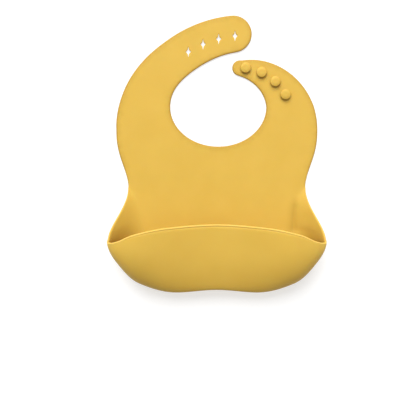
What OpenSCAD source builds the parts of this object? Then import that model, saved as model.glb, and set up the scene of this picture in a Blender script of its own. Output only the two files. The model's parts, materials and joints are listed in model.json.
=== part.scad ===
/* [Overall] */
// Length from the pocket's lobes to the top of the hole strap
bib_length = 293; // [245:1:355]
// Width over the two tips of the pocket
bib_width = 225; // [190:1:270]
// Height of the pocket's rim above the table
pocket_depth = 39; // [32:0.5:48]
// Thickness of the silicone sheet
sheet_t = 2; // [1.6:0.1:2.4]

/* [Chest] */
// Half width of the sheet at the shoulders
shoulder_half = 107.8; // [92:0.2:128]
// Half width of the sheet at the waist
waist_half = 94.9; // [80:0.1:104]
// Distance from the pocket's lobes up to the waist
waist_up = 109.5; // [98:0.5:125]
// Distance from the waist up to the fold line under the collar
fold_up = 25; // [18:0.5:32]

/* [Neck and straps] */
// Half width of the neck opening
neck_rx = 51.4; // [42:0.2:62]
// Half height of the neck opening
neck_ry = 42.5; // [35:0.2:51]
// How far the neck opening sits to the side of the studs
neck_shift = 1.5; // [0:0.1:4]
// Radial width of the hole strap near its end
hole_strap_band = 42.5; // [30:0.1:50]
// Radial width of the stud strap at its end
stud_strap_band = 17.7; // [15:0.1:26]

/* [Snaps] */
// Radius of the round part of a snap hole
hole_r = 2.5; // [2:0.1:3.2]
// Half length of a snap hole's slit
slit_half = 5.6; // [4:0.1:7]
// Radius of a stud's cap
stud_cap_r = 5.7; // [4.6:0.1:7]
// Radius of a stud's stem
stud_stem_r = 2.9; // [2.2:0.1:3.6]
// Height of a stud above the strap
stud_height = 4; // [3:0.1:5.5]
// How far the snap holes lie below the middle of their strap
hole_drop = 1.8; // [0:0.1:3]
// Distance between neighbouring snaps
snap_pitch = 17.6; // [15:0.1:19.5]

/* [Pocket] */
// How far inside the sheet's edge an ear's crease starts, below the waist
crease_in = 8; // [5:0.5:10]
// Half width of the front wall that flexes
flex_half = 66; // [50:1:76]
// Height of the pocket's tips above the table
tip_z = 28; // [20:0.5:34]
// Height of the rim at the middle of the front wall
rim_mid_z = 29.5; // [22:0.5:36]
// Height of the arch under the pocket
arch_z = 12; // [6:0.5:15]
// Radius of the bead along the pocket's rim
bead_r = 1.3; // [1.1:0.05:1.8]

/* [Hidden] */

silicone = "#E3B64F";
seam = 0.15;          // gap between moulded sections of one body
hinge_gap = 0.2;      // gap at the fold lines of the flat sheet
flex_gap = 0.9;       // gap under the front wall, which rocks on its hinge
slide_gap = 0.4;      // gap between the front wall and the cheeks beside it
step_deg = 3;         // spacing of points along the neck and the straps

half_w = bib_width / 2;
bottom_y = -bib_length / 2;
waist_y = bottom_y + waist_up;
fold_y = waist_y + fold_up;
tip_y = bottom_y + 55.5;

// Angles round the neck opening, counterclockwise from +X, where the sheet has its fold lines
hole_folds = [172, 149, 126, 97];
stud_folds = [3, 31];
hole_tip_in = 71;
hole_tip_out = 83;
stud_tip_in = 57.7;
stud_tip_out = 62.8;
spiral_from = 149;    // the hole strap starts to spiral outwards here
spiral_rate = 330;    // degrees squared for each millimetre of spiral
stud_pull_rate = 11;  // degrees for each millimetre that the stud strap closes in
shoulder_deg = 12.7;  // the polar outline takes over from the chest's here
shoulder_drop = shoulder_half * tan(shoulder_deg);

// ---- general curves ----

function smooth(t) = let (c = min(1, max(0, t))) c * c * (3 - 2 * c);
function lerp(a, b, t) = a + (b - a) * t;
function bezier(a, b, c, d, t) =
    a * pow(1 - t, 3) + b * 3 * t * pow(1 - t, 2) + c * 3 * t * t * (1 - t) + d * t * t * t;
function unit(v) = v / norm(v);
function flatten(rows) = [for (row = rows) each row];
function steps(from, to, count) = [for (i = [0:count]) from + (to - from) * i / count];

// A smooth curve through knots [x, value] that never overshoots them
function secant(k, i) = (k[i + 1][1] - k[i][1]) / (k[i + 1][0] - k[i][0]);
function knot_slope(k, i) =
    i == 0 || i == len(k) - 1 ? 0
    : let (a = secant(k, i - 1), b = secant(k, i)) a * b <= 0 ? 0 : 2 * a * b / (a + b);
function end_slope(k, i) = i == 0 ? 0 : i == len(k) - 1 ? secant(k, i - 1) : knot_slope(k, i);
function through(k, x) =
    let (
        hits = [for (j = [0:len(k) - 2]) if (x >= k[j][0]) j],
        i = len(hits) == 0 ? 0 : hits[len(hits) - 1],
        h = k[i + 1][0] - k[i][0],
        t = min(1, max(0, (x - k[i][0]) / h)),
        m0 = end_slope(k, i) * h,
        m1 = end_slope(k, i + 1) * h
    )
    k[i][1] * (1 + 2 * t) * pow(1 - t, 2) + m0 * t * pow(1 - t, 2)
        + k[i + 1][1] * t * t * (3 - 2 * t) + m1 * t * t * (t - 1);

// ---- the flat outline round the neck, in polar form about the centre of the neck opening ----

function ellipse_r(a) = neck_rx * neck_ry / sqrt(pow(neck_ry * cos(a), 2) + pow(neck_rx * sin(a), 2));
// Radial width of the collar where the polar outline meets the chest's, on the two sides
collar_left = (shoulder_half + neck_shift) / cos(shoulder_deg) - ellipse_r(shoulder_deg);
collar_right = (shoulder_half - neck_shift) / cos(shoulder_deg) - ellipse_r(shoulder_deg);
between_tips = (stud_tip_out + hole_tip_in) / 2;
function inner_r(a) =
    a > between_tips
        ? ellipse_r(a) + pow(max(0, spiral_from - a), 2) / spiral_rate
        : ellipse_r(a) - max(0, a) / stud_pull_rate;
hole_band_knots = [
    [hole_tip_in, hole_strap_band], [125, lerp(hole_strap_band, collar_left, 0.04)],
    [150, lerp(hole_strap_band, collar_left, 0.2)], [170, lerp(hole_strap_band, collar_left, 0.48)],
    [180 + shoulder_deg, collar_left]
];
function band(a) =
    a > between_tips
        ? through(hole_band_knots, a)
        : lerp(collar_right, stud_strap_band, (a + shoulder_deg) / (stud_tip_out + shoulder_deg));
function polar(r, a) = [r * cos(a), r * sin(a)];
function inner_pt(a) = polar(inner_r(a), a);
function outer_pt(a) = polar(inner_r(a) + band(a), a);
function middle_pt(a) = polar(inner_r(a) + band(a) / 2, a);

// A round end from one edge of a strap to the other
function nose(p, q) =
    let (
        half = (q - p) / 2,
        ahead = norm(half) * unit([half[1], -half[0]]),
        tip = (p + q) / 2 + ahead,
        round = 0.5523
    )
    [
        each [for (t = steps(0, 1, 8)) bezier(p, p + ahead * round, tip - half * round, tip, t)],
        each [for (t = steps(1 / 8, 1, 7)) bezier(tip, tip + half * round, q + ahead * round, q, t)]
    ];
hole_nose = nose(inner_pt(hole_tip_in), outer_pt(hole_tip_out));
stud_nose = nose(outer_pt(stud_tip_out), inner_pt(stud_tip_in));

strap_top = max([for (p = concat(hole_nose, [for (a = [hole_tip_out:1:110]) outer_pt(a)])) p[1]]);
neck = [neck_shift, bib_length / 2 - strap_top];

// Half width of the chest at a height between the waist and the shoulders
function chest_half(y) =
    let (
        top = neck[1] - shoulder_drop,
        t = min(1, max(0, (top - y) / (top - waist_y)))
    )
    lerp(shoulder_half, waist_half, smooth(pow(t, 1.3)));

// ---- the pocket: curves over the angle phi, where x = half_w * sin(phi) ----

lobe_deg = 22;        // the pocket's two lobes
heel_deg = 46;        // the corner that rests on the table
bottom_knots = [
    [0, bottom_y + 3.3], [lobe_deg, bottom_y], [heel_deg, bottom_y + 9.8],
    [67, bottom_y + 32.5], [90, tip_y]
];
part_knots = [[0, 20], [lobe_deg, 17.5], [heel_deg, 17.8], [67, 21.5], [90, tip_z]];
rim_y_knots = [
    [0, bottom_y + 71], [26, bottom_y + 68], [49, bottom_y + 61.5],
    [63, bottom_y + 55], [74, bottom_y + 53], [84, bottom_y + 53], [90, tip_y]
];
rim_top = pocket_depth - (bead_r - sheet_t / 2);
rim_z_knots = [
    [0, rim_mid_z], [26, lerp(rim_mid_z, rim_top, 0.4)], [49, rim_top],
    [63, lerp(tip_z, rim_top, 0.85)], [74, lerp(tip_z, rim_top, 0.5)], [90, tip_z]
];
arch_knots = [[0, 0.83], [9, 0.88], [17, 1], [25, 0.93], [33, 0.72], [41, 0.3], [heel_deg - 1.3, 0], [90, 0]];

function phi_of(x) = asin(min(1, abs(x) / half_w));
function part_pt(phi) = [half_w * sin(phi), through(bottom_knots, abs(phi)), through(part_knots, abs(phi))];
function rim_pt(phi) = [half_w * sin(phi), through(rim_y_knots, abs(phi)), through(rim_z_knots, abs(phi))];

// The back of the pocket arches off the table between two heels
arch_from = 68;       // distance above the lobes where the arch has died away
arch_to = 12;         // distance above the lobes where it is full
function back_z(x, y) =
    arch_z * through(arch_knots, phi_of(x)) * smooth((bottom_y + arch_from - y) / (arch_from - arch_to));

// The crease where the flat back turns up into a side wall, as a half width
heel = part_pt(heel_deg);
heel_in = 1.5;        // how far the heel line lies inside the parting line, across the bib
base_in = 2.2;        // and along the bib
heel_steps = 40;      // ribs between the two heels
function crease_half(y) =
    let (t = min(1, max(0, (waist_y - y) / (waist_y - heel[1]))))
    through([
        [0, waist_half - 0.6], [0.12, waist_half - crease_in],
        [0.35, lerp(waist_half - crease_in, heel[0] - heel_in, 0.4)], [1, heel[0] - heel_in]
    ], t);

// The free edge of an ear runs from the waist to the pocket's tip
function ear_pt(t) = [
    lerp(waist_half, half_w, smooth(pow(t, 1.15))),
    lerp(waist_y, tip_y, t),
    tip_z * (t + smooth(t)) / 2
];

// The right-hand edge from the waist (0) by the tip (1) to the heel (2)
function edge_pt(u) = u <= 1 ? ear_pt(u) : part_pt(90 - (u - 1) * (90 - heel_deg));
function crease_pt(u) =
    let (p = edge_pt(u), y = p[1] + base_in * smooth(u - 1))
    [min(crease_half(y), p[0] - 0.3), y, 0];

// ---- surfaces with thickness ----

// Closed solid between two grids of points; rows crossed with columns point to the second grid
module shell(first, second) {
    rows = len(first);
    cols = len(first[0]);
    back = rows * cols;
    function at(i, j) = i * cols + j;
    polyhedron(
        points = concat(flatten(first), flatten(second)),
        faces = concat(
            [for (i = [0:rows - 2], j = [0:cols - 2]) each [
                [at(i, j), at(i + 1, j), at(i + 1, j + 1)],
                [at(i, j), at(i + 1, j + 1), at(i, j + 1)],
                [back + at(i, j), back + at(i + 1, j + 1), back + at(i + 1, j)],
                [back + at(i, j), back + at(i, j + 1), back + at(i + 1, j + 1)]
            ]],
            [for (i = [0:rows - 2]) each [
                [at(i, 0), back + at(i, 0), back + at(i + 1, 0)],
                [at(i, 0), back + at(i + 1, 0), at(i + 1, 0)],
                [at(i, cols - 1), back + at(i + 1, cols - 1), back + at(i, cols - 1)],
                [at(i, cols - 1), at(i + 1, cols - 1), back + at(i + 1, cols - 1)]
            ]],
            [for (j = [0:cols - 2]) each [
                [at(0, j), back + at(0, j + 1), back + at(0, j)],
                [at(0, j), at(0, j + 1), back + at(0, j + 1)],
                [at(rows - 1, j), back + at(rows - 1, j), back + at(rows - 1, j + 1)],
                [at(rows - 1, j), back + at(rows - 1, j + 1), at(rows - 1, j + 1)]
            ]]
        )
    );
}

// Wall from the crease or heel line (v = 0) up to the parting line or free edge (v = 1)
function wall_pt(u, v) =
    let (
        low = crease_pt(u),
        high = edge_pt(u),
        upright = smooth((u - 0.7) / 0.6),
        a = lerp(low, high, 0.33 + 0.37 * upright) - [0, 0, 0.58 * upright * high[2]],
        b = lerp(lerp(low, high, 0.67), high - [0, 0, 0.4 * high[2]], upright)
    )
    bezier(low, a, b, high, v);
function wall_dir(u, v) =
    let (
        e = 0.01,
        du = wall_pt(min(2, u + e), v) - wall_pt(max(0, u - e), v),
        dv = wall_pt(u, min(1, v + e)) - wall_pt(u, max(0, v - e))
    )
    lerp(lerp([0, 0, 1], unit(cross(du, dv)), smooth(u / 0.4)), [0, 1, 0], smooth((u - 1.4) / 0.6));

// The mitre at the crease, shared by the walls and the flat back; it turns the corner at the heel
mitre_side = 0.41;
mitre_base = 0.9;
function mitre(y) =
    let (t = smooth((heel[1] + base_in + 20 - y) / 20))
    [-mitre_side * (1 - t), mitre_base * t, 1];

module side_wall() {
    us = steps(0.06, 1.995, 42);
    function grid(depth) = [for (u = us)
        let (
            w = max(4, norm(edge_pt(u) - crease_pt(u))),
            v0 = seam * (2 + 3 * smooth((u - 1.7) / 0.3)) / w,
            v1 = 1 - seam / w
        )
        [for (v = steps(v0, v1, 8))
            wall_pt(u, v) + depth * lerp(mitre(crease_pt(u)[1]), wall_dir(u, v), smooth(v / 0.25))]];
    color(silicone) shell(grid(0), grid(sheet_t));
}

// Wall between the two heels, from the arch's edge up to the parting line
function base_low(phi) =
    let (p = part_pt(phi), x = p[0] * (1 - heel_in / heel[0]), y = p[1] + base_in)
    [x, y, back_z(x, y)];
function base_pt(phi, v) =
    let (low = base_low(phi), high = part_pt(phi), h = high[2] - low[2])
    bezier(low, low + [0, -0.3 * base_in, 0.25 * h], high - [0, 0, 0.4 * h], high, v);

module pocket_base_wall() {
    phis = [for (xi = steps(-1, 1, heel_steps)) xi * (heel_deg - 0.1)];
    function grid(depth) = [for (phi = phis)
        let (h = part_pt(phi)[2] - base_low(phi)[2], turn = max(0.3, 1.3 * sheet_t / h))
        [for (v = steps(2 * seam / h, 1 - seam / h, 6))
            base_pt(phi, v) + depth * lerp([0, mitre_base, 1], [0, 1, 0], smooth(v / turn))]];
    color(silicone) shell(grid(sheet_t), grid(0));
}

flex_deg = asin(flex_half / half_w);

// Front wall and cheeks: ribs in planes of constant x, from the parting line up to the rim
function front_pt(phi, v) =
    let (
        p = part_pt(phi),
        q = rim_pt(phi),
        lobe = smooth((abs(phi) - 8) / 34),
        rise = q[2] - p[2],
        a = p + [0, 0, rise * lerp(0.42, 0.62, lobe)],
        b = [p[0], lerp(q[1], p[1], lerp(0.88, 0.62, lobe)), lerp(p[2], q[2], lerp(0.62, 1.02, lobe))]
    )
    bezier(p, a, b, q, v);
// Its direction through the sheet, kept in the rib's plane where the front wall meets the cheeks
function front_dir(phi, v) =
    let (
        e = 0.004,
        du = front_pt(phi + 0.3, v) - front_pt(phi - 0.3, v),
        dv = front_pt(phi, min(1, v + e)) - front_pt(phi, max(0, v - e)),
        n = unit(cross(dv, du))
    )
    unit([n[0] * smooth(abs(abs(phi) - flex_deg) / 8), n[1], n[2]]);
// Spacing of rib points, closer together where the wall bends at its foot
function rib_steps(v0, count) = [for (i = [0:count]) v0 + (1 - v0) * pow(i / count, 1.25)];

module front_piece(phi0, phi1, count, gap) {
    function grid(depth) = [for (phi = steps(phi0, phi1, count))
        let (
            foot = front_pt(phi, 0),
            next = front_pt(phi, 0.02),
            clear = gap * (1 + 2 * smooth((abs(phi) - heel_deg) / 30)),
            v0 = 0.02 * clear / norm(next - foot)
        )
        [for (v = rib_steps(v0, 12)) front_pt(phi, v) + depth * front_dir(phi, v)]];
    color(silicone) shell(grid(sheet_t), grid(0));
}

cheek_from = asin((flex_half + slide_gap) / half_w);
cheek_to = 82;        // the cheek closes on the side wall here, at the pocket's tip

module pocket_front_wall() { front_piece(-flex_deg, flex_deg, 44, flex_gap); }
module cheek_right() { front_piece(cheek_from, cheek_to, 24, seam); }

// Round bead along the rim, carried by the top edge of the wall
function bead_centre(phi) =
    let (q = rim_pt(phi), n = front_dir(phi, 1))
    q + n * sheet_t / 2 + [0, bead_r + seam, 0];
module rim_bead(phi0, phi1, count) {
    sides = 12;
    phis = steps(phi0, phi1, count);
    rings = [for (phi = phis)
        let (c = bead_centre(phi))
        [for (k = [0:sides - 1]) c + bead_r * [0, cos(360 * k / sides), sin(360 * k / sides)]]];
    last = len(phis) - 1;
    color(silicone) polyhedron(
        points = flatten(rings),
        faces = concat(
            [for (i = [0:last - 1], k = [0:sides - 1])
                let (n = (k + 1) % sides)
                each [
                    [i * sides + k, (i + 1) * sides + k, (i + 1) * sides + n],
                    [i * sides + k, (i + 1) * sides + n, i * sides + n]
                ]],
            [[for (k = [0:sides - 1]) k]],
            [[for (k = [sides - 1:-1:0]) last * sides + k]]
        )
    );
}

// Back of the pocket, flat at the waist and arched between the heels
module pocket_back() {
    function at(xi, eta, depth) =
        let (
            foot = base_low(xi * heel_deg),
            y = lerp(waist_y, foot[1], eta),
            x = lerp(xi, foot[0] / (heel[0] - heel_in), smooth((eta - 0.8) / 0.2)) * crease_half(y),
            side = smooth((abs(xi) - 0.9) / 0.1),
            inside = [
                sign(xi) * side * mitre(y)[0],
                lerp(mitre_base * smooth((eta - 0.93) / 0.07), mitre(y)[1], side),
                1
            ]
        )
        [x, y, back_z(x, y)] + depth * inside;
    function grid(depth) = [for (xi = steps(-1, 1, heel_steps))
        let (s = xi * (1 - seam / heel[0]))
        [for (eta = steps(seam / 100, 1 - seam / 100, 20)) at(s, eta, depth)]];
    color(silicone) shell(grid(sheet_t), grid(0));
}

// ---- flat sheet pieces ----

module sheet(points) {
    color(silicone) linear_extrude(sheet_t) polygon(points);
}

// Flat part of the chest, from the waist up to the fold line
module chest_panel() {
    ys = steps(waist_y + seam, fold_y - hinge_gap / 2, 12);
    sheet(concat(
        [for (y = ys) [chest_half(y), y]],
        [for (i = [len(ys) - 1:-1:0]) [-chest_half(ys[i]), ys[i]]]
    ));
}

// Angle that half of a hinge gap takes up at the middle of the band
function gap_deg(a) = hinge_gap / 2 / norm(middle_pt(a)) * 180 / PI;

// A strap's piece between two fold lines, given as angles with from above to
module ring_piece(from, to) {
    count = ceil((from - to) / step_deg);
    angles = steps(from - gap_deg(from), to + gap_deg(to), count);
    translate(neck) sheet(concat(
        [for (a = angles) inner_pt(a)],
        [for (i = [count:-1:0]) outer_pt(angles[i])]
    ));
}

// Collar: the upper chest with the lower half of the neck opening
module collar_panel() {
    left = hole_folds[0] + gap_deg(hole_folds[0]);
    right = stud_folds[0] - gap_deg(stud_folds[0]);
    top = neck[1] - shoulder_drop;
    side_ys = steps(fold_y + hinge_gap / 2, top - 0.5, 14);
    sheet(concat(
        [for (a = steps(left, right + 360, 62)) neck + inner_pt(a)],
        [for (a = steps(right, -shoulder_deg + 1, 8)) neck + outer_pt(a)],
        [for (i = [len(side_ys) - 1:-1:0]) [chest_half(side_ys[i]), side_ys[i]]],
        [for (y = side_ys) [-chest_half(y), y]],
        [for (a = steps(180 + shoulder_deg - 1, left, 8)) neck + outer_pt(a)]
    ));
}

// Snap positions run along the middle of the straps, one pitch apart
function walk(a, turn) = a + turn * snap_pitch / norm(middle_pt(a + turn) - middle_pt(a));
hole_4 = 77;
hole_3 = walk(hole_4, 13);
hole_2 = walk(hole_3, 13);
hole_1 = walk(hole_2, 13);
stud_1_deg = 55;
stud_2_deg = walk(stud_1_deg, -14);
stud_3_deg = walk(stud_2_deg, -14);
stud_4_deg = walk(stud_3_deg, -14);

module snap_hole(a) {
    slit_half_w = 1.3;
    translate(concat(neck + middle_pt(a) - [0, hole_drop], [-1])) {
        cylinder(r = hole_r, h = sheet_t + 2, $fn = 64);
        linear_extrude(sheet_t + 2)
            polygon([[0, -slit_half], [slit_half_w, 0], [0, slit_half], [-slit_half_w, 0]]);
    }
}

module hole_strap_inner() {
    color(silicone) difference() {
        ring_piece(hole_folds[2], hole_folds[3]);
        snap_hole(hole_1);
        snap_hole(hole_2);
    }
}

module hole_strap_tip() {
    from = hole_folds[3] - gap_deg(hole_folds[3]);
    color(silicone) difference() {
        translate(neck) sheet(concat(
            [for (a = steps(from, hole_tip_in + 1, 8)) inner_pt(a)],
            hole_nose,
            [for (a = steps(hole_tip_out + 1, from, 5)) outer_pt(a)]
        ));
        snap_hole(hole_3);
        snap_hole(hole_4);
    }
}

module stud_strap_tip() {
    to = stud_folds[1] + gap_deg(stud_folds[1]);
    translate(neck) sheet(concat(
        [for (a = steps(to, stud_tip_out - 1, 10)) outer_pt(a)],
        stud_nose,
        [for (a = steps(stud_tip_in - 1, to, 9)) inner_pt(a)]
    ));
}

// Mushroom stud: a short stem under a domed cap, moulded on the strap's front face
module stud(a) {
    stem_h = stud_height * 0.42;
    edge_h = stud_height * 0.25;
    color(silicone) translate(concat(neck + middle_pt(a), [sheet_t])) rotate_extrude($fn = 64)
        polygon([
            [0, 0], [stud_stem_r, 0], [stud_stem_r, stem_h], [stud_cap_r - 0.3, stem_h],
            [stud_cap_r, stem_h + 0.3], [stud_cap_r, stem_h + edge_h],
            [stud_cap_r - 0.6, stem_h + edge_h + 0.65], [stud_cap_r * 0.55, stud_height - 0.1],
            [0, stud_height]
        ]);
}

chest_panel();
pocket_back();
pocket_base_wall();
mirror([1, 0, 0]) side_wall();  // side_wall_left
side_wall();  // side_wall_right
mirror([1, 0, 0]) cheek_right();  // cheek_left
cheek_right();
mirror([1, 0, 0]) rim_bead(cheek_from, cheek_to, 20);  // rim_bead_left
rim_bead(cheek_from, cheek_to, 20);  // rim_bead_right
pocket_front_wall();
rim_bead(-flex_deg, flex_deg, 40);  // rim_bead_front
collar_panel();
ring_piece(hole_folds[0], hole_folds[1]);  // hole_strap_root
ring_piece(hole_folds[1], hole_folds[2]);  // hole_strap_middle
hole_strap_inner();
hole_strap_tip();
ring_piece(stud_folds[1], stud_folds[0]);  // stud_strap_root
stud_strap_tip();
stud(stud_1_deg);  // stud_1
stud(stud_2_deg);  // stud_2
stud(stud_3_deg);  // stud_3
stud(stud_4_deg);  // stud_4
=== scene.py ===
"""A one-piece silicone bib with a catch pocket, lying on its back."""

import json
import math

import bmesh
import bpy
import numpy as np
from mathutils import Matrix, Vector
from mathutils.geometry import delaunay_2d_cdt


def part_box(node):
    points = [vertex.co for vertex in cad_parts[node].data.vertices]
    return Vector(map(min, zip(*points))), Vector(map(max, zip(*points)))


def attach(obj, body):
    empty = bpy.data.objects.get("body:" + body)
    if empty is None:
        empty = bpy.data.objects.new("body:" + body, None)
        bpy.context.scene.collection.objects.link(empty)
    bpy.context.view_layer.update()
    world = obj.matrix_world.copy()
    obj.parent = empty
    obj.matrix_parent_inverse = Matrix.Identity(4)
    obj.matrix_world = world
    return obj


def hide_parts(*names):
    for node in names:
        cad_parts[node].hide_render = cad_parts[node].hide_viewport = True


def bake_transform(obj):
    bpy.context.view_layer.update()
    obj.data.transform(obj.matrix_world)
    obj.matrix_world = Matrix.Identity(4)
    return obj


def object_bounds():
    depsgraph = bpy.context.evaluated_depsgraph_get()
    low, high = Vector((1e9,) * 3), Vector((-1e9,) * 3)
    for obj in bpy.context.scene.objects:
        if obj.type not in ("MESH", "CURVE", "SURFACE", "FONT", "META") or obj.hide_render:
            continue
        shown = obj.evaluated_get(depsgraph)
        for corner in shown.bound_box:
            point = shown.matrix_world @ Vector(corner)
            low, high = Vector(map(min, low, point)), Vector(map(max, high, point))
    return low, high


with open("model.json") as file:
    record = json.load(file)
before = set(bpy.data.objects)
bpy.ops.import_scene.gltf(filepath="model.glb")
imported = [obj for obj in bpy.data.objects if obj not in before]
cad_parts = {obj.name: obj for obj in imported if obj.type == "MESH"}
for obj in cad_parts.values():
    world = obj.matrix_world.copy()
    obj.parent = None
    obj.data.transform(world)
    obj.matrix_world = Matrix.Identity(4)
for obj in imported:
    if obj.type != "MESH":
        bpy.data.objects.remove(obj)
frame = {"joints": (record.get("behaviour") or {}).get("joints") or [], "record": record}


def bounds_rows():
    return [list(corner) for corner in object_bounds()]


cad_bounds = bounds_rows()

# ---- sizes, in metres, read from the CAD nodes ----

MM = 0.001
LOW, HIGH = (np.array(corner) for corner in cad_bounds)
HALF_W = (HIGH[0] - LOW[0]) / 2
BOTTOM_Y = LOW[1]
TOP_Y = HIGH[1]
DEPTH = HIGH[2]
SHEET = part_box("chest_panel")[1].z
WAIST_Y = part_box("chest_panel")[0].y
WAIST_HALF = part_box("pocket_back")[1].x
FOLD_Y = (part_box("chest_panel")[1].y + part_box("collar_panel")[0].y) / 2
SHOULDER_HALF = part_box("collar_panel")[1].x


# ---- curves ----


def smooth(t):
    t = np.clip(t, 0.0, 1.0)
    return t * t * (3 - 2 * t)


def lerp(a, b, t):
    return a + (b - a) * t


def bezier(a, b, c, d, t):
    a, b, c, d = (np.asarray(p, float) for p in (a, b, c, d))
    return a * (1 - t) ** 3 + b * 3 * t * (1 - t) ** 2 + c * 3 * t * t * (1 - t) + d * t**3


def unit(v):
    return v / np.linalg.norm(v)


def through(knots, x):
    """A smooth curve through knots (x, value) that never overshoots them."""
    slope = [(b[1] - a[1]) / (b[0] - a[0]) for a, b in zip(knots, knots[1:])]
    i = max([j for j in range(len(slope)) if x >= knots[j][0]] or [0])
    at_knot = [0.0]
    at_knot += [0 if a * b <= 0 else 2 * a * b / (a + b) for a, b in zip(slope, slope[1:])]
    at_knot.append(slope[-1])
    h = knots[i + 1][0] - knots[i][0]
    t = min(1.0, max(0.0, (x - knots[i][0]) / h))
    return (
        knots[i][1] * (1 + 2 * t) * (1 - t) ** 2
        + at_knot[i] * h * t * (1 - t) ** 2
        + knots[i + 1][1] * t * t * (3 - 2 * t)
        + at_knot[i + 1] * h * t * t * (t - 1)
    )


# ---- the outline of the flat sheet, in polar form about the centre of the neck opening ----
# Lengths from here on are in millimetres; the meshes are scaled to metres when they are made.

TIP_FACET = 0.07      # how far the solids' facets stay inside the true tips
SEAM = 0.15           # half the gap between the chest and the pocket's back
BACK_SEAM = 0.75      # from the pocket back's edge to the sheet's own edge at the waist
TIP_UP = 55.5         # from the lobes up to the pocket's tips

mounts = {m["name"]: m for m in frame["record"]["mounts"]}
NECK = np.array(mounts["neck_opening"]["pos_m"][:2]) / MM
half_w = HALF_W / MM + TIP_FACET
bottom_y = BOTTOM_Y / MM
waist_y = WAIST_Y / MM - SEAM
fold_y = FOLD_Y / MM
waist_half = WAIST_HALF / MM + BACK_SEAM
shoulder_half = SHOULDER_HALF / MM
sheet_t = SHEET / MM
tip_y = bottom_y + TIP_UP
tip_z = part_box("side_wall_right")[1].z / MM

NECK_RX, NECK_RY = 51.4, 42.5
HOLE_TIP, HOLE_TIP_OUT = 71, 83             # degrees where the hole strap's inner and outer edges end
STUD_TIP, STUD_TIP_OUT = 57.7, 62.8         # the same for the stud strap
STRAPS_PART = (STUD_TIP_OUT + HOLE_TIP) / 2
HOLE_BAND, STUD_BAND = 42.5, 17.7           # the straps' radial widths at their ends
SHOULDER_DEG = 12.7                         # the outline is polar above this angle
SPIRAL_FROM, SPIRAL_RATE = 149, 330         # where the hole strap spirals outwards, in degrees
STUD_PULL_RATE = 11                         # degrees for each millimetre the stud strap closes in


def polar(r, a):
    return np.array([r * math.cos(math.radians(a)), r * math.sin(math.radians(a))])


def ellipse_r(a):
    c, s = polar(1, a)
    return NECK_RX * NECK_RY / math.hypot(NECK_RY * c, NECK_RX * s)


def inner_r(a):
    if a > STRAPS_PART:
        return ellipse_r(a) + max(0, SPIRAL_FROM - a) ** 2 / SPIRAL_RATE
    return ellipse_r(a) - max(0, a) / STUD_PULL_RATE


def collar_band(side):
    reach = (shoulder_half - side * NECK[0]) / math.cos(math.radians(SHOULDER_DEG))
    return reach - ellipse_r(SHOULDER_DEG)


def band(a):
    if a > STRAPS_PART:
        wide = collar_band(-1)
        shares = [(HOLE_TIP, 0), (125, 0.04), (150, 0.2), (170, 0.48), (180 + SHOULDER_DEG, 1)]
        return through([(deg, lerp(HOLE_BAND, wide, share)) for deg, share in shares], a)
    return lerp(collar_band(1), STUD_BAND, (a + SHOULDER_DEG) / (STUD_TIP_OUT + SHOULDER_DEG))


def inner_pt(a):
    return NECK + polar(inner_r(a), a)


def outer_pt(a):
    return NECK + polar(inner_r(a) + band(a), a)


def middle_pt(a):
    return NECK + polar(inner_r(a) + band(a) / 2, a)


def nose(p, q):
    """A round strap end from p to q."""
    half = (q - p) / 2
    ahead = np.array([half[1], -half[0]])
    tip = (p + q) / 2 + ahead
    k = 0.5523    # the handle length that makes a bezier a quarter circle
    first = [bezier(p, p + ahead * k, tip - half * k, tip, t) for t in np.linspace(0, 1, 9)]
    second = [bezier(tip, tip + half * k, q + ahead * k, q, t) for t in np.linspace(0, 1, 9)]
    return first + second[1:]


def chest_half(y):
    top = NECK[1] - shoulder_half * math.tan(math.radians(SHOULDER_DEG))
    t = min(1.0, max(0.0, (top - y) / (top - waist_y)))
    return lerp(shoulder_half, waist_half, smooth(t**1.3))


def resample(points, spacing):
    """The same curve with even steps of about that length."""
    points = np.array(points)
    lengths = np.linalg.norm(np.diff(points, axis=0), axis=1)
    keep = np.concatenate([[True], lengths > 1e-6])
    points = points[keep]
    along = np.concatenate([[0], np.cumsum(np.linalg.norm(np.diff(points, axis=0), axis=1))])
    want = np.linspace(0, along[-1], max(2, round(along[-1] / spacing)) + 1)
    return np.array([np.interp(want, along, points[:, k]) for k in range(points.shape[1])]).T


def outline():
    """The sheet's free edge, from the waist on the left round both straps to the right."""
    shoulder_y = outer_pt(180 + SHOULDER_DEG)[1]
    side = [(chest_half(y), y) for y in np.linspace(waist_y, shoulder_y, 30)]
    left = [(-x, y) for x, y in side]
    outside = [outer_pt(a) for a in np.arange(180 + SHOULDER_DEG - 1, HOLE_TIP_OUT, -1.5)]
    tip = nose(inner_pt(HOLE_TIP), outer_pt(HOLE_TIP_OUT))[::-1]
    round_neck = [inner_pt(a) for a in np.arange(HOLE_TIP + 1.5, 360, 1.5)]
    round_neck += [inner_pt(a) for a in np.arange(0, STUD_TIP, 1.5)]
    stud_tip = nose(outer_pt(STUD_TIP_OUT), inner_pt(STUD_TIP))[::-1]
    right = [outer_pt(a) for a in np.arange(STUD_TIP_OUT - 1.5, -SHOULDER_DEG, -1.5)]
    return resample(left + outside + tip + round_neck + stud_tip + right + side[::-1], EDGE_STEP)


# ---- snaps ----

FIRST_HOLE_DEG = 77
HOLE_TURN = 13        # a trial step between holes, in degrees
HOLE_DROP = 1.8       # how far the holes lie below the strap's middle
HOLE_R = 2.0
SLIT_HALF, SLIT_TAPER = 1.05, 0.17          # an upright slit's half width and how it narrows
POINT, POINT_TAPER = 2.3, 0.82              # the same for the short points beside the hole
HOLE_RINGS = (0.7, 5, 7.6)                  # the rim's width, then the half axes of the oval round it


def walk(a, turn, pitch):
    """The angle one pitch further along the strap's middle than a."""
    return a + turn * pitch / np.linalg.norm(middle_pt(a + turn) - middle_pt(a))


def stud_place(name):
    low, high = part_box(name)
    return np.array([(low.x + high.x) / 2, (low.y + high.y) / 2]) / MM


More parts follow.
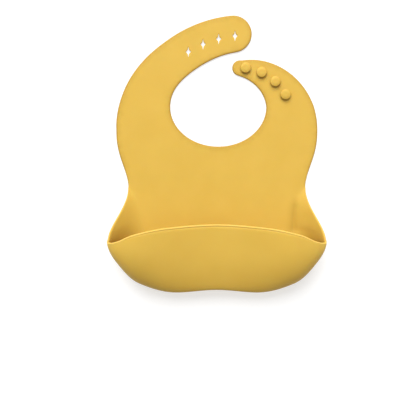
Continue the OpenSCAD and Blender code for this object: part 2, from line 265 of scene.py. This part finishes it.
def snap_holes():
    """Centres of the four snap holes, from the strap's end inwards, at the studs' own pitch."""
    pitch = np.linalg.norm(stud_place("stud_1") - stud_place("stud_2"))
    angles = [FIRST_HOLE_DEG]
    for _ in range(3):
        angles.append(walk(angles[-1], HOLE_TURN, pitch))
    return np.array([middle_pt(a) - (0, HOLE_DROP) for a in angles])


HOLES = snap_holes()


def round_a_hole():
    """Directions round a snap hole, closest together at the tips of its upright slits."""
    quarter = [10, 22, 40, 58, 70, 78, 84]
    half = [0] + quarter + [90] + [180 - deg for deg in quarter[::-1]]
    return half + [180 + deg for deg in half]


def star(centre, grow):
    """A round hole with two upright slits and two short points beside them; grow widens it."""
    loop = []
    for deg in round_a_hole():
        c, s = (abs(v) for v in polar(1, deg))
        slit = SLIT_HALF / (c + SLIT_TAPER * s)
        point = POINT / (s + POINT_TAPER * c) if c > 0.5 else 0
        loop.append(centre + polar(max(HOLE_R, slit, point) + grow, deg))
    return np.array(loop)


def oval(centre, rx, ry):
    loop = []
    for deg in round_a_hole():
        c, s = polar(1, deg)
        loop.append(centre + polar(1 / math.hypot(c / rx, s / ry), deg))
    return np.array(loop)


# ---- the pocket, as curves over the angle phi, where x = half_w * sin(phi) ----

HEEL_DEG = 46
HEEL_IN, BASE_IN = 1.5, 2.2   # how far the base stands inside the parting line, sideways and upwards
CREASE_IN = 8                 # how far inside the sheet's edge an ear's crease starts
PART_MID = 20                 # height of the parting line in the middle
BEAD_PROUD, BEAD_UNDER = 0.3, 1.3           # the bead's reach above and below the rim's curve
WALL_OUT, WALL_LOW = 0.37, 0.58             # how full the side walls are just above the crease
rim_top = DEPTH / MM - BEAD_PROUD
rim_mid_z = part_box("rim_bead_front")[0].z / MM + BEAD_UNDER

bottom_knots = [
    (0, bottom_y + 3.3), (22, bottom_y), (HEEL_DEG, bottom_y + 9.8), (67, bottom_y + 32.5), (90, tip_y),
]
part_knots = [(0, PART_MID), (22, 17.5), (HEEL_DEG, 17.8), (67, 21.5), (90, tip_z)]
rim_y_knots = [
    (0, bottom_y + 71), (26, bottom_y + 68), (49, bottom_y + 61.5),
    (63, bottom_y + 55), (74, bottom_y + 53), (84, bottom_y + 53), (90, tip_y),
]
rim_z_knots = [
    (0, rim_mid_z), (26, lerp(rim_mid_z, rim_top, 0.4)), (49, rim_top),
    (63, lerp(tip_z, rim_top, 0.85)), (74, lerp(tip_z, rim_top, 0.5)), (90, tip_z),
]
arch_knots = [
    (0, 0.83), (9, 0.88), (17, 1), (25, 0.93), (33, 0.72), (41, 0.3), (HEEL_DEG - 1.3, 0), (90, 0),
]
ARCH_Z = 12
ARCH_FROM, ARCH_TO = 68, 12   # the back rises from the table between these distances from the lobes


def phi_of(x):
    return math.degrees(math.asin(min(1.0, abs(x) / half_w)))


def part_pt(phi):
    x = half_w * math.sin(math.radians(phi))
    return np.array([x, through(bottom_knots, abs(phi)), through(part_knots, abs(phi))])


def rim_pt(phi):
    x = half_w * math.sin(math.radians(phi))
    return np.array([x, through(rim_y_knots, abs(phi)), through(rim_z_knots, abs(phi))])


def back_z(x, y):
    """Height of the pocket's back above the table."""
    rise = smooth((bottom_y + ARCH_FROM - y) / (ARCH_FROM - ARCH_TO))
    return ARCH_Z * through(arch_knots, phi_of(x)) * rise


heel = part_pt(HEEL_DEG)


def crease_half(y):
    """Half width between the two creases where the ears bend up."""
    t = min(1.0, max(0.0, (waist_y - y) / (waist_y - heel[1])))
    top, foot = waist_half - CREASE_IN, heel[0] - HEEL_IN
    return through([(0, waist_half), (0.12, top), (0.35, lerp(top, foot, 0.4)), (1, foot)], t)


def edge_pt(u):
    """The right-hand edge, from the waist (0) by the pocket's tip (1) to the heel (2)."""
    if u > 1:
        return part_pt(90 - (u - 1) * (90 - HEEL_DEG))
    x = lerp(waist_half, half_w, smooth(u**1.15))
    return np.array([x, lerp(waist_y, tip_y, u), tip_z * (u + smooth(u)) / 2])


def crease_pt(u):
    """The foot of the right-hand ear and side wall."""
    y = edge_pt(u)[1] + BASE_IN * smooth(u - 1)
    return np.array([crease_half(y), y, 0])


def wall_pt(u, v):
    """The right-hand ear and side wall, from the crease (v = 0) to the edge (v = 1)."""
    low, high = crease_pt(u), edge_pt(u)
    upright = smooth((u - 0.7) / 0.6)
    a = lerp(low, high, 0.33 + WALL_OUT * upright) - np.array([0, 0, WALL_LOW * upright * high[2]])
    b = lerp(lerp(low, high, 0.67), high - np.array([0, 0, 0.4 * high[2]]), upright)
    return bezier(low, a, b, high, v)


def base_low(xi):
    """The foot of the base wall, from the left heel (-1) to the right heel (1)."""
    p = part_pt(xi * HEEL_DEG)
    x, y = p[0] * (1 - HEEL_IN / heel[0]), p[1] + BASE_IN
    return np.array([x, y, back_z(x, y)])


def base_pt(xi, v):
    if abs(xi) == 1:
        return wall_pt(2, v) * np.array([xi, 1, 1])
    low, high = base_low(xi), part_pt(xi * HEEL_DEG)
    h = high[2] - low[2]
    a = low + np.array([0, -0.3 * BASE_IN, 0.25 * h])
    return bezier(low, a, high - np.array([0, 0, 0.4 * h]), high, v)


def back_pt(xi, u):
    foot = base_low(xi)
    eta = (crease_pt(u)[1] - waist_y) / (crease_pt(2)[1] - waist_y)
    y = lerp(waist_y, foot[1], eta)
    x = lerp(xi, foot[0] / (heel[0] - HEEL_IN), smooth((eta - 0.8) / 0.2)) * crease_half(y)
    return np.array([x, y, back_z(x, y)])


def front_pt(phi, v):
    """The pocket's front, from the parting line (v = 0) to the rim (v = 1)."""
    p, q = part_pt(phi), rim_pt(phi)
    lobe = smooth((abs(phi) - 8) / 34)
    rise = q[2] - p[2]
    a = p + np.array([0, 0, rise * lerp(0.42, 0.62, lobe)])
    b = np.array([
        p[0], lerp(q[1], p[1], lerp(0.88, 0.62, lobe)), lerp(p[2], q[2], lerp(0.62, 1.02, lobe)),
    ])
    return bezier(p, a, b, q, v)


# ---- one skin for the whole moulding ----

EDGE_STEP = 2.6       # spacing of points along the free edge
EDGE_IN = 2.2         # width of the row of faces beside it
FILL_STEP = 5.0       # spacing of the points that fill the flat sheet
FILL_CLEAR = 2.6      # the nearest they come to an edge
FLAT, BACK, SIDE, BASE, FRONT = range(5)

# How the colour shifts with painted light: above 0 darker, painted shade; below 0 paler, painted
# highlight
FLAT_EDGE_PAINTED_SHADE, EAR_EDGE_PAINTED_HIGHLIGHT, BEAD_PAINTED_HIGHLIGHT = 0.9, -0.25, -0.35    # painted shade along the sheet's edges, painted highlight along the ears' edges and on the bead
EDGE_BESIDE = 0.2                                     # share of it on the next points in
EDGE_FADE = 25                                        # length over which it comes in above the waist
NEAR_HOLE = 8                                         # the snap holes' edges keep the plain colour
FOLD_PAINTED_SHADE, EAR_PAINTED_SHADE, STUD_PAINTED_SHADE = 0.5, 0.3, 1.0        # painted shade in the fold, on the ears, under the studs' caps
EAR_DEEP = 14                                         # height over which an ear's painted shade deepens
FRONT_PAINTED_SHADE, FRONT_FADE = 0.38, 52                     # painted shade at the lobes, and how far up it fades out
PARTING_PAINTED_SHADE = 0.3                                    # painted shade added along the parting line under the front


HEEL_ROOM = 16                                        # length of the creases that stay as they are
PINCH_FROM, PINCH_TO = 20, 48                         # a sharper stretch, measured down from the waist
PARTING_ROOM = 3                                      # height of wall left alone under the parting line
FOLD_IN, FOLD_LEAN, FOLD_WIDTH = 2.5, 0.08, 6.5       # the fold's place beside the crease, and its width
FOLD_FROM, FOLD_GROW = 4, 26                          # where below the waist it starts, and how slowly


def by_the_heel(p):
    return p.y < heel[1] + HEEL_ROOM


def stays_sharp(p):
    """Part of the right-hand crease above the pocket's mouth, and both creases near the heels."""
    pinched = p.x > 0 and waist_y - PINCH_TO < p.y < waist_y - PINCH_FROM
    return pinched or by_the_heel(p)


def by_the_parting(p):
    return p.z > heel[2] - PARTING_ROOM


def fold_shade(p):
    """Painted shade along the soft fold beside the right-hand ear, from the waist down into the pocket.
    """
    down = waist_y - p.y
    line = waist_half - CREASE_IN - FOLD_IN - FOLD_LEAN * down
    across = 1 - smooth(abs(p.x - line) / FOLD_WIDTH)
    return FOLD_PAINTED_SHADE * across * smooth((down - FOLD_FROM) / FOLD_GROW)


class Skin:
    """The moulding's outer surface, gathered face by face and then welded."""

    def __init__(self):
        self.mesh = bmesh.new()

    def face(self, points, region):
        corners = []
        for p in points:
            v = self.mesh.verts.new(Vector(p) * MM)
            if not corners or (v.co - corners[-1].co).length > 1e-9:
                corners.append(v)
        if len(corners) > 2:
            self.mesh.faces.new(corners).material_index = region

    def grid(self, rows, region):
        for a, b in zip(rows, rows[1:]):
            for i in range(len(a) - 1):
                self.face([a[i], b[i], b[i + 1], a[i + 1]], region)

    def soften(self, regions, rings, rounds, spare=None):
        """Rounds the crease between two regions, leaving the free edge and the spared stretch."""
        near = {v for v in self.mesh.verts if regions <= {f.material_index for f in v.link_faces}}
        for _ in range(rings):
            near |= {e.other_vert(v) for v in near for e in v.link_edges}
        self.mesh.verts.index_update()
        loose = [v for v in near if not v.is_boundary and not (spare and spare(v.co / MM))]
        loose.sort(key=lambda v: v.index)
        for _ in range(rounds):
            bmesh.ops.smooth_vert(
                self.mesh, verts=loose, factor=0.5, use_axis_x=True, use_axis_y=True, use_axis_z=True
            )

    def paint_light_and_shade(self):
        """A value on each point: above 0 for painted shade, which darkens the colour, below 0 for
        painted highlight, which pales it.
        """
        painted_light = self.mesh.verts.layers.float.new("edge")
        for v in self.mesh.verts:
            p = v.co / MM
            regions = {f.material_index for f in v.link_faces}
            # painted shade in the fold beside the right-hand ear, and on the ears growing with height
            if regions <= {BACK, SIDE}:
                v[painted_light] = fold_shade(p) + EAR_PAINTED_SHADE * min(1, p.z / EAR_DEEP)
            # painted shade on the front, deepest at the lobes, with more along the parting line
            if FRONT in regions:
                v[painted_light] = FRONT_PAINTED_SHADE * (1 - smooth((p.y - bottom_y) / FRONT_FADE))
                if len(regions) > 1:
                    v[painted_light] += PARTING_PAINTED_SHADE
            # painted shade along the sheet's free edges, spread a little onto the next points in
            if v.is_boundary and FLAT in regions:
                painted_edge_shade = FLAT_EDGE_PAINTED_SHADE * smooth((p.y - waist_y) / EDGE_FADE)
                v[painted_light] = painted_edge_shade if nearest(np.array([p[:2]]), HOLES) > NEAR_HOLE else 0
                for e in v.link_edges:
                    beside = e.other_vert(v)
                    if not beside.is_boundary:
                        beside[painted_light] = max(beside[painted_light], EDGE_BESIDE * v[painted_light])
            # painted highlight along the ears' free edges
            elif v.is_boundary and SIDE in regions:
                v[painted_light] = EAR_EDGE_PAINTED_HIGHLIGHT

    def welded(self):
        """The finished surface as mesh data, with its faces turned outwards."""
        bmesh.ops.remove_doubles(self.mesh, verts=self.mesh.verts, dist=0.02 * MM)
        bmesh.ops.dissolve_degenerate(self.mesh, edges=self.mesh.edges, dist=0.01 * MM)
        self.soften({BACK, SIDE}, 2, 1, spare=by_the_heel)
        self.soften({BACK, SIDE}, 3, 14, spare=stays_sharp)
        self.soften({BACK, SIDE, BASE}, 1, 2)
        self.soften({SIDE, BASE}, 1, 5, spare=by_the_parting)
        # painted shade and painted highlights, kept in the edge attribute
        self.paint_light_and_shade()
        bmesh.ops.recalc_face_normals(self.mesh, faces=self.mesh.faces)
        flat = next(f for f in self.mesh.faces if f.material_index == FLAT)
        if flat.normal.z > 0:
            bmesh.ops.reverse_faces(self.mesh, faces=self.mesh.faces)
        data = bpy.data.meshes.new("skin")
        self.mesh.to_mesh(data)
        return data


def waist_columns():
    """Shares of the half width where the back's columns stand, with narrow ones at the edges."""
    edge = 1 - EDGE_IN / waist_half
    return np.concatenate([[-1], np.linspace(-edge, edge, 41), [1]])


def inside(points, loop):
    """Which points lie inside a closed loop."""
    points, loop = np.atleast_2d(points), np.asarray(loop)
    ahead = np.roll(loop, -1, axis=0)
    hit = np.zeros(len(points), bool)
    for (x0, y0), (x1, y1) in zip(loop, ahead):
        if y0 != y1:
            crosses = (points[:, 1] > y0) != (points[:, 1] > y1)
            hit ^= crosses & (points[:, 0] < (x1 - x0) * (points[:, 1] - y0) / (y1 - y0) + x0)
    return hit


def nearest(points, others):
    return np.linalg.norm(points[:, None, :] - others[None, :, :], axis=2).min(axis=1)


def add_flat_sheet(skin):
    """The sheet from the waist up: a row of faces along every edge, and triangles between."""
    edge = outline()
    along = np.gradient(edge, axis=0)
    normal = np.stack([along[:, 1], -along[:, 0]], axis=1)
    inner = edge + EDGE_IN * normal / np.linalg.norm(normal, axis=1, keepdims=True)
    inner[0] = edge[0] + (EDGE_IN, 0)
    inner[-1] = edge[-1] - (EDGE_IN, 0)
    for i in range(len(edge) - 1):
        corners = [edge[i], edge[i + 1], inner[i + 1], inner[i]]
        skin.face([(x, y, 0) for x, y in corners], FLAT)

    waist = np.array([(xi * waist_half, waist_y) for xi in waist_columns()[2:-2][::-1]])
    border = np.concatenate([inner, waist])
    rings = []
    rim, oval_rx, oval_ry = HOLE_RINGS
    for centre in HOLES:
        loops = [star(centre, 0), star(centre, rim), oval(centre, oval_rx, oval_ry)]
        for a, b in zip(loops, loops[1:]):
            for i in range(len(a)):
                j = (i + 1) % len(a)
                skin.face([(x, y, 0) for x, y in (a[i], a[j], b[j], b[i])], FLAT)
        rings.append(loops[-1])

    row_step = FILL_STEP * 0.87
    xs, ys = np.meshgrid(np.arange(-half_w, half_w, FILL_STEP), np.arange(waist_y, TOP_Y / MM, row_step))
    xs = xs + FILL_STEP / 2 * (np.arange(len(xs)) % 2)[:, None]
    fill = np.stack([xs.ravel(), ys.ravel()], axis=1)
    fill = fill[inside(fill, border)]
    fill = fill[nearest(fill, np.concatenate([border] + rings)) > FILL_CLEAR]
    for ring in rings:
        fill = fill[~inside(fill, ring)]

    points, edges = [], []
    for loop in [border] + rings:
        first = len(points)
        points += [Vector(p) for p in loop]
        edges += [(first + i, first + (i + 1) % len(loop)) for i in range(len(loop))]
    points += [Vector(p) for p in fill]
    made, _, faces, *_ = delaunay_2d_cdt(points, edges, [], 0, 1e-5)
    made = np.array([tuple(p) for p in made])
    middles = np.array([made[list(f)].mean(axis=0) for f in faces])
    kept = inside(middles, border)
    for ring in rings:
        kept &= ~inside(middles, ring)
    for f, keep in zip(faces, kept):
        if keep:
            skin.face([(*made[i], 0) for i in f], FLAT)


def add_pocket(skin):
    """The back, the base wall, the side walls and the front, on shared rows of points."""
    us = np.concatenate([np.linspace(0, 1, 21), np.linspace(1, 2, 17)[1:]])
    vs = [0, 0.17, 0.34, 0.5, 0.66, 0.82, 0.93, 1]
    ribs = np.concatenate([np.linspace(0, 1, 19)[:-1] ** 1.2, [0.975, 1]])
    columns = waist_columns()

    skin.grid([[back_pt(xi, u) for xi in columns] for u in us], BACK)
    skin.grid([[base_pt(xi, v) for xi in columns] for v in vs], BASE)
    for side in (-1, 1):
        flip = np.array([side, 1, 1])
        skin.grid([[wall_pt(u, v) * flip for v in vs] for u in us], SIDE)
    side_phis = [90 - (u - 1) * (90 - HEEL_DEG) for u in us if u >= 1]
    phis = [-p for p in side_phis] + [xi * HEEL_DEG for xi in columns[1:-1]] + side_phis[::-1]
    skin.grid([[front_pt(phi, v) for phi in phis] for v in ribs], FRONT)


def thick_skin():
    """The welded surface given its thickness and rounded edges, as one mesh."""
    skin = Skin()
    add_flat_sheet(skin)
    add_pocket(skin)
    surface = skin.welded()
    whole = bpy.data.objects.new("skin", surface)
    bpy.context.scene.collection.objects.link(whole)
    thick = whole.modifiers.new("thickness", "SOLIDIFY")
    thick.thickness = SHEET
    thick.offset = -1
    rounded = whole.modifiers.new("rounded", "SUBSURF")
    rounded.levels = rounded.render_levels = 1
    bpy.context.view_layer.update()
    made = bpy.data.meshes.new_from_object(whole.evaluated_get(bpy.context.evaluated_depsgraph_get()))
    bpy.data.objects.remove(whole)
    return made


# ---- the skin cut into pieces along the folds ----

joints = {j["name"]: j for j in frame["joints"]}
hole_joints = ["hole_strap_curl", "hole_strap_curl_b", "hole_strap_curl_c", "hole_strap_curl_d"]
stud_joints = ["stud_strap_curl", "stud_strap_curl_b"]


def fold_deg(joint):
    x, y = np.array(joints[joint]["pos_m"][:2]) / MM - NECK
    return math.degrees(math.atan2(y, x)) % 360


hole_folds = [fold_deg(j) for j in hole_joints]
stud_folds = [fold_deg(j) for j in stud_joints]
FOLD_ROOM = 15                # half width of the band that bends under the collar
STRAP_ROOM = 12               # degrees of collar that bend with a strap's first fold
ENDS_FROM, ENDS_TO = 64, 75   # degrees where the hole strap's end lies outside the stud strap's
ENDS_R = 59                   # radius between the two ends


def piece_of(x, y, region):
    """The name of the piece that holds a face of the skin."""
    if region == FRONT:
        return "front_wall_right" if x > 0 else "front_wall_left"
    if region != FLAT or y < fold_y - FOLD_ROOM:
        return "pocket_skin"
    if y < fold_y + FOLD_ROOM:
        return "fold_band"
    a = math.degrees(math.atan2(y - NECK[1], x - NECK[0])) % 360
    r = math.hypot(x - NECK[0], y - NECK[1])
    if hole_folds[0] + STRAP_ROOM < a < stud_folds[0] - STRAP_ROOM + 360:
        return "collar_skin"
    if ENDS_TO < a < 200 or (ENDS_FROM < a <= ENDS_TO and r > ENDS_R):
        cuts = [(p + q) / 2 for p, q in zip(hole_folds, hole_folds[1:])]
        return "hole_strap_skin_" + "abcd"[sum(a < cut for cut in cuts)]
    a = a - 360 if a > 180 else a
    return "stud_strap_skin_" + "ab"[int(a > sum(stud_folds) / 2)]


def give_painted_light(data, values):
    """Gives a mesh its painted shade and highlights, one value for each point."""
    data.attributes.new("edge", "FLOAT", "POINT").data.foreach_set("value", values)


def cut_into_pieces(whole):
    """A dict of piece name to object; each keeps the whole skin's normals, so no seam shows."""
    count = len(whole.vertices)
    places, normals = np.zeros(count * 3), np.zeros(count * 3)
    whole.vertices.foreach_get("co", places)
    whole.vertices.foreach_get("normal", normals)
    places, normals = places.reshape(-1, 3), normals.reshape(-1, 3)
    # the painted shade and highlights of each point
    painted_light_values = np.zeros(count)
    whole.attributes["edge"].data.foreach_get("value", painted_light_values)
    gathered = {}
    for poly in whole.polygons:
        x, y, _ = poly.center / MM
        gathered.setdefault(piece_of(x, y, poly.material_index), []).append(tuple(poly.vertices))
    made = {}
    for name, faces in gathered.items():
        used = sorted({i for f in faces for i in f})
        number = {old: new for new, old in enumerate(used)}
        data = bpy.data.meshes.new(name)
        data.from_pydata(places[used].tolist(), [], [[number[i] for i in f] for f in faces])
        data.shade_smooth()
        data.normals_split_custom_set_from_vertices(normals[used].tolist())
        give_painted_light(data, painted_light_values[used])
        made[name] = bpy.data.objects.new(name, data)
        bpy.context.scene.collection.objects.link(made[name])
    return made


def bend(piece):
    """Bakes the piece's placement into its mesh; it is not bent here."""
    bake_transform(piece)


def flex(piece):
    """Half of the pocket's front, with its placement baked into its mesh; it is not moved here."""
    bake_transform(piece)


# ---- the beads and the studs ----

BEAD_R, BEAD_SIDES = 1.12, 16
BEAD_END_DEG = 88.5           # the bead ends just inside the pocket's tip
BEAD_THIN, BEAD_THIN_DEG = 0.55, 80         # the share of its radius it loses from there on


def mesh_object(name, points, faces):
    data = bpy.data.meshes.new(name)
    data.from_pydata([Vector(p) * MM for p in points], [], faces)
    data.shade_smooth()
    made = bpy.data.objects.new(name, data)
    bpy.context.scene.collection.objects.link(made)
    return made


def rim_bead(side):
    """Half of the round lip along the pocket's rim, thinning out at the tip."""
    sides = BEAD_SIDES
    centres, radii = [], []
    for phi in np.linspace(0, BEAD_END_DEG, 80):
        q = rim_pt(phi)
        inwards = unit(q - front_pt(phi, 0.97))
        sideways = rim_pt(phi + 0.3) - rim_pt(phi - 0.3)
        through_sheet = unit(np.cross(sideways, inwards))
        if through_sheet[2] > 0:
            through_sheet = -through_sheet
        centres.append(q + through_sheet * sheet_t / 2 + inwards * 0.1)
        thin = smooth((phi - BEAD_THIN_DEG) / (BEAD_END_DEG - BEAD_THIN_DEG))
        radii.append(BEAD_R * (1 - BEAD_THIN * thin))
    centres = np.array(centres) * (side, 1, 1)
    tangents = np.gradient(centres, axis=0)
    points, faces = [], []
    turns = np.linspace(0, 2 * math.pi, sides, endpoint=False)
    for c, t, r in zip(centres, tangents, radii):
        t = unit(t)
        up = unit(np.array([0, 0, 1]) - t * t[2])
        across = np.cross(t, up)
        points += [c + r * (math.cos(turn) * up + math.sin(turn) * across) for turn in turns]
    last = len(centres) - 1
    for i in range(last):
        for k in range(sides):
            n = (k + 1) % sides
            faces.append([i * sides + k, i * sides + n, (i + 1) * sides + n, (i + 1) * sides + k])
    end = len(points)
    points.append(centres[-1] + unit(tangents[-1]) * radii[-1] * 0.7)
    faces += [[last * sides + k, last * sides + (k + 1) % sides, end] for k in range(sides)]
    bead = mesh_object("rim_bead_skin_" + ("right" if side > 0 else "left"), points, faces)
    tidy = bmesh.new()
    tidy.from_mesh(bead.data)
    bmesh.ops.recalc_face_normals(tidy, faces=tidy.faces)
    tidy.to_mesh(bead.data)
    tidy.free()
    bead.data.shade_smooth()
    # painted highlight over the whole bead
    give_painted_light(bead.data, [BEAD_PAINTED_HIGHLIGHT] * len(bead.data.vertices))
    return bead


def lathe(name, centre, profile, sides=48):
    """A turned shape from (radius, height) points; the first and last lie on the axis."""
    points = [(centre[0], centre[1], profile[0][1])]
    for r, z in profile[1:-1]:
        points += [(*(centre + polar(r, 360 * k / sides)), z) for k in range(sides)]
    points.append((centre[0], centre[1], profile[-1][1]))
    starts = [1 + i * sides for i in range(len(profile) - 2)]
    faces = []
    for k in range(sides):
        n = (k + 1) % sides
        faces.append([0, 1 + n, 1 + k])
        faces += [[low + k, low + n, high + n, high + k] for low, high in zip(starts, starts[1:])]
        faces.append([starts[-1] + k, starts[-1] + n, len(points) - 1])
    return mesh_object(name, points, faces)


def stud(name):
    """A mushroom stud: a waisted stem under a soft cap with a shallow dish in its top."""
    low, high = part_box(name)
    cap_r = (high.x - low.x) / 2 / MM
    top = high.z / MM
    height = top - sheet_t
    under = sheet_t + 0.4 * height
    stem_r = cap_r * 0.5
    corner = 0.22 * height
    profile = [(0, sheet_t - 0.4), (stem_r + 1.1, sheet_t - 0.2), (stem_r + 0.45, sheet_t + 0.15)]
    profile += [(stem_r, sheet_t + 0.6), (stem_r, under - 0.3), (stem_r + 0.25, under)]
    for k in range(7):
        a = -90 + 30 * k
        c, s = polar(1, a)
        profile.append((cap_r - corner + corner * c, under + corner + corner * s))
    rim = under + 2 * corner
    profile += [(cap_r * 0.62, lerp(rim, top, 0.75)), (cap_r * 0.4, top - 0.02)]
    profile += [(cap_r * 0.2, top - 0.08), (0, top - 0.12)]
    turned = lathe(name + "_skin", stud_place(name), profile)
    # painted shade on the stem and the cap's lower side, fading out at the cap's rim
    heights = [v.co.z / MM - rim for v in turned.data.vertices]
    give_painted_light(turned.data, [STUD_PAINTED_SHADE * (1 - smooth((z + 0.6) / 0.6)) for z in heights])
    return turned


# ---- materials ----


def principled(name):
    material = bpy.data.materials.new(name)
    material.use_nodes = True
    return material, material.node_tree, material.node_tree.nodes["Principled BSDF"]


def noise(tree, scale, detail=4.0):
    """Noise in the object's metres, so the grain is the same size on every piece."""
    place = tree.nodes.new("ShaderNodeTexCoord")
    node = tree.nodes.new("ShaderNodeTexNoise")
    node.inputs["Scale"].default_value = scale
    node.inputs["Detail"].default_value = detail
    tree.links.new(place.outputs["Object"], node.inputs["Vector"])
    return node


def spread(tree, source, low, high):
    node = tree.nodes.new("ShaderNodeMapRange")
    node.inputs["To Min"].default_value = low
    node.inputs["To Max"].default_value = high
    tree.links.new(source, node.inputs["Value"])
    return node.outputs["Result"]


def mix(tree, share, low, high):
    """A colour between two; each is a constant or another node's output."""
    node = tree.nodes.new("ShaderNodeMix")
    node.data_type = "RGBA"
    tree.links.new(share, node.inputs[0])
    for socket, colour in ((node.inputs[6], low), (node.inputs[7], high)):
        if isinstance(colour, tuple):
            socket.default_value = (*colour, 1)
        else:
            tree.links.new(colour, socket)
    return node.outputs[2]


def silicone():
    """Matte mustard silicone: faint mottling, a dusty bloom, a moulded grain, soft light inside, and
    painted shade and highlights from the edge attribute.
    """
    material, tree, shader = principled("silicone")
    tint = mix(tree, noise(tree, 35).outputs["Fac"], (0.60, 0.38, 0.054), (0.66, 0.43, 0.072))
    # the edge attribute holds painted shade above 0 and painted highlight below 0
    edge = tree.nodes.new("ShaderNodeAttribute")
    edge.attribute_name = "edge"
    # painted shade: darker towards a deep orange where the edge attribute is above 0
    with_painted_shade = mix(tree, spread(tree, edge.outputs["Fac"], 0, 0.75), tint, (0.33, 0.17, 0.008))
    # painted highlight: paler towards a light yellow where the edge attribute is below 0
    flip = tree.nodes.new("ShaderNodeMath")
    flip.operation = "MULTIPLY"
    flip.inputs[1].default_value = -1
    tree.links.new(edge.outputs["Fac"], flip.inputs[0])
    with_painted_highlight = mix(tree, spread(tree, flip.outputs[0], 0, 0.7), with_painted_shade, (0.90, 0.62, 0.17))
    tree.links.new(with_painted_highlight, shader.inputs["Base Color"])
    tree.links.new(spread(tree, noise(tree, 160).outputs["Fac"], 0.5, 0.62), shader.inputs["Roughness"])
    shader.inputs["Specular IOR Level"].default_value = 0.25
    shader.inputs["IOR"].default_value = 1.43
    shader.inputs["Subsurface Weight"].default_value = 0.25
    shader.inputs["Subsurface Radius"].default_value = (1.0, 0.55, 0.15)
    shader.inputs["Subsurface Scale"].default_value = 0.003
    shader.inputs["Sheen Weight"].default_value = 0.05
    shader.inputs["Sheen Roughness"].default_value = 0.6
    grain = tree.nodes.new("ShaderNodeBump")
    grain.inputs["Strength"].default_value = 0.12
    grain.inputs["Distance"].default_value = 0.0002
    tree.links.new(noise(tree, 1400, 2.0).outputs["Fac"], grain.inputs["Height"])
    tree.links.new(grain.outputs["Normal"], shader.inputs["Normal"])
    return material


def paper():
    """The pale floor."""
    material, tree, shader = principled("floor")
    tint = mix(tree, noise(tree, 6).outputs["Fac"], (0.49, 0.49, 0.49), (0.51, 0.51, 0.51))
    tree.links.new(tint, shader.inputs["Base Color"])
    shader.inputs["Roughness"].default_value = 0.8
    shader.inputs["Specular IOR Level"].default_value = 0.2
    shader.inputs["Emission Color"].default_value = (1, 1, 1, 1)
    shader.inputs["Emission Strength"].default_value = 0.56
    return material


# ---- the bib ----

made = cut_into_pieces(thick_skin())
made["rim_bead_skin_left"] = rim_bead(-1)
made["rim_bead_skin_right"] = rim_bead(1)
for number in (1, 2, 3, 4):
    made[f"stud_{number}_skin"] = stud(f"stud_{number}")

yellow = silicone()
for piece in made.values():
    piece.data.materials.clear()
    piece.data.materials.append(yellow)

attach(made["pocket_skin"], "pocket")
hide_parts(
    "chest_panel", "pocket_back", "pocket_base_wall", "side_wall_left", "side_wall_right",
)
bend(made["fold_band"])
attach(made["collar_skin"], "collar")
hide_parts("collar_panel")

hole_nodes = ["hole_strap_root", "hole_strap_middle", "hole_strap_inner", "hole_strap_tip"]
for letter, joint, node in zip("abcd", hole_joints, hole_nodes):
    piece = made["hole_strap_skin_" + letter]
    bend(piece)
    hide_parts(node)
for letter, joint, node in zip("ab", stud_joints, ["stud_strap_root", "stud_strap_tip"]):
    piece = made["stud_strap_skin_" + letter]
    bend(piece)
    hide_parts(node)
stud_bodies = ["stud_strap_b", "stud_strap_b", "stud_strap_a", "stud_strap_a"]
for number, body in enumerate(stud_bodies, 1):
    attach(made[f"stud_{number}_skin"], body)
    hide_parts(f"stud_{number}")

for name, side in (("left", -1), ("right", 1)):
    flex(made["front_wall_" + name])
    flex(made["rim_bead_skin_" + name])
    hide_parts("pocket_front_wall", "cheek_" + name)
    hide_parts("rim_bead_front", "rim_bead_" + name)


# ---- floor, light and camera ----


def area_light(name, place, aim, size, power):
    light = bpy.data.lights.new(name, "AREA")
    light.size = size
    light.energy = power
    lamp = bpy.data.objects.new(name, light)
    lamp.location = place
    lamp.rotation_euler = (Vector(aim) - Vector(place)).to_track_quat("-Z", "Y").to_euler()
    bpy.context.scene.collection.objects.link(lamp)


FLOOR_REACH = 20.0
FLOOR_DROP = 0.0002    # keeps the floor clear of the bib's underside

corners = [(-1, -1), (1, -1), (1, 1), (-1, 1)]
floor_data = bpy.data.meshes.new("floor")
floor_data.from_pydata([(x * FLOOR_REACH, y * FLOOR_REACH, 0) for x, y in corners], [], [[0, 1, 2, 3]])
floor_data.materials.append(paper())
floor = bpy.data.objects.new("floor", floor_data)
bpy.context.scene.collection.objects.link(floor)
floor.location.z = -FLOOR_DROP

scene = bpy.context.scene
scene.world = bpy.data.worlds.new("studio")
scene.world.use_nodes = True
background = scene.world.node_tree.nodes["Background"]
background.inputs["Color"].default_value = (1.0, 1.0, 1.0, 1)
background.inputs["Strength"].default_value = 0.31
scene.view_settings.view_transform = "Standard"

# The key stands beyond the neck, so the pocket's front deepens towards the lobes
area_light("key", (-0.44, 2.9, 2.72), (0, 0, 0), 3.4, 265)
area_light("fill", (0.6, -0.2, 1.2), (0, 0, 0), 1.0, 2)

view = bpy.data.cameras.new("camera")
view.lens = 50
view.shift_x = -0.0212
view.shift_y = -0.1305
camera = bpy.data.objects.new("camera", view)
camera.location = (0, -0.00175, 0.62)
scene.collection.objects.link(camera)
scene.camera = camera
